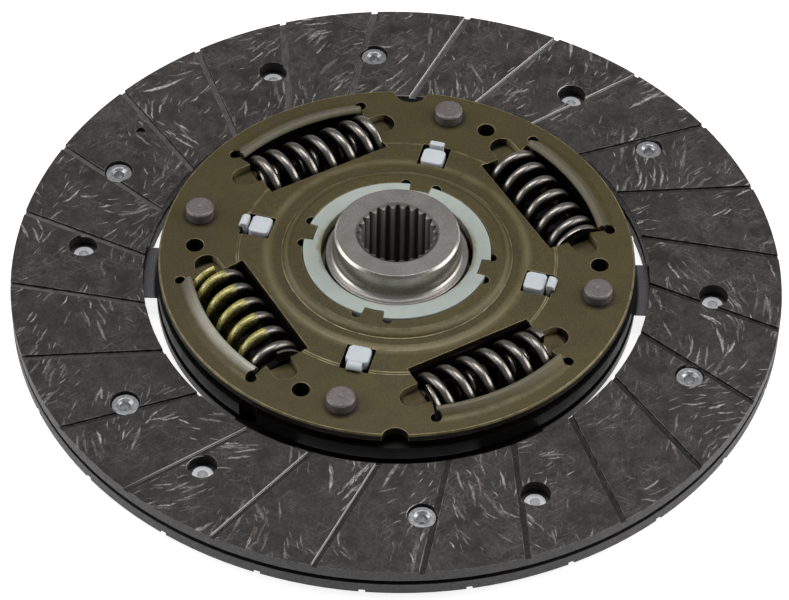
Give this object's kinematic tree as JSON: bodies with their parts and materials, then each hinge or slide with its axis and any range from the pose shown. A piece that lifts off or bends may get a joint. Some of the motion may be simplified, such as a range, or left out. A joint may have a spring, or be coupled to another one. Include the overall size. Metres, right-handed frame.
{
  "type": "clutch disc",
  "caption": "Clutch disc with grooved, riveted friction linings, a coil spring torsional damper between two cover plates and a splined hub.",
  "frame": {"origin": "on the disc's axis, midway between the two friction faces", "axes": "+Z along the axis towards the front, the side the hub's longer boss stands on; +X to the right and +Y away from the viewer in the picture"},
  "size_m": [0.228, 0.228, 0.028],
  "materials": {
    "lining": "dry friction composite, matte",
    "spring_sheet": "oiled spring steel sheet",
    "rivet": "bright plated",
    "cover": "olive phosphate, satin",
    "pin": "plain turned steel",
    "flange": "phosphated steel",
    "hub": "satin machined steel",
    "ring_plastic": "off-white filled nylon",
    "clip_plastic": "white nylon",
    "spring_steel": "dark oiled spring wire"
  },
  "bodies": {
    "disc": {"front_lining": "lining", "rear_lining": "lining", "cushion_plate": "spring_sheet", "front_lining_rivets": "rivet", "rear_lining_rivets": "rivet", "front_cover_plate": "cover", "rear_cover_plate": "cover", "stop_pin_1": "pin", "stop_pin_2": "pin", "stop_pin_3": "pin", "stop_pin_4": "pin", "front_friction_ring": "ring_plastic", "rear_friction_ring": "ring_plastic", "clip_cage": "clip_plastic", "diaphragm_spring": "spring_sheet", "idle_diaphragm_spring": "spring_sheet", "damper_spring_1": "spring_steel", "damper_spring_2": "spring_steel", "damper_spring_3": "spring_steel", "damper_spring_4": "spring_steel", "inner_spring_1": "spring_steel", "inner_spring_2": "spring_steel"},
    "flange": {"hub_flange": "flange", "idle_spring_1": "spring_steel", "idle_spring_2": "spring_steel"},
    "hub": {"hub": "hub"}
  },
  "joints": [
    {"name": "damper_twist", "type": "hinge", "parent": "disc", "child": "flange", "pos_m": [0, 0, 0.00387], "axis": [0, 0, 1], "range_deg": [-8, 8], "stiffness_Nm_per_rad": 1150, "deforming": ["damper_spring_1", "damper_spring_2", "damper_spring_3", "damper_spring_4", "inner_spring_1", "inner_spring_2"]},
    {"name": "idle_twist", "type": "hinge", "parent": "flange", "child": "hub", "pos_m": [0, 0, 0.00387], "axis": [0, 0, 1], "range_deg": [-4, 4], "stiffness_Nm_per_rad": 60, "deforming": ["idle_spring_1", "idle_spring_2"]}
  ]
}
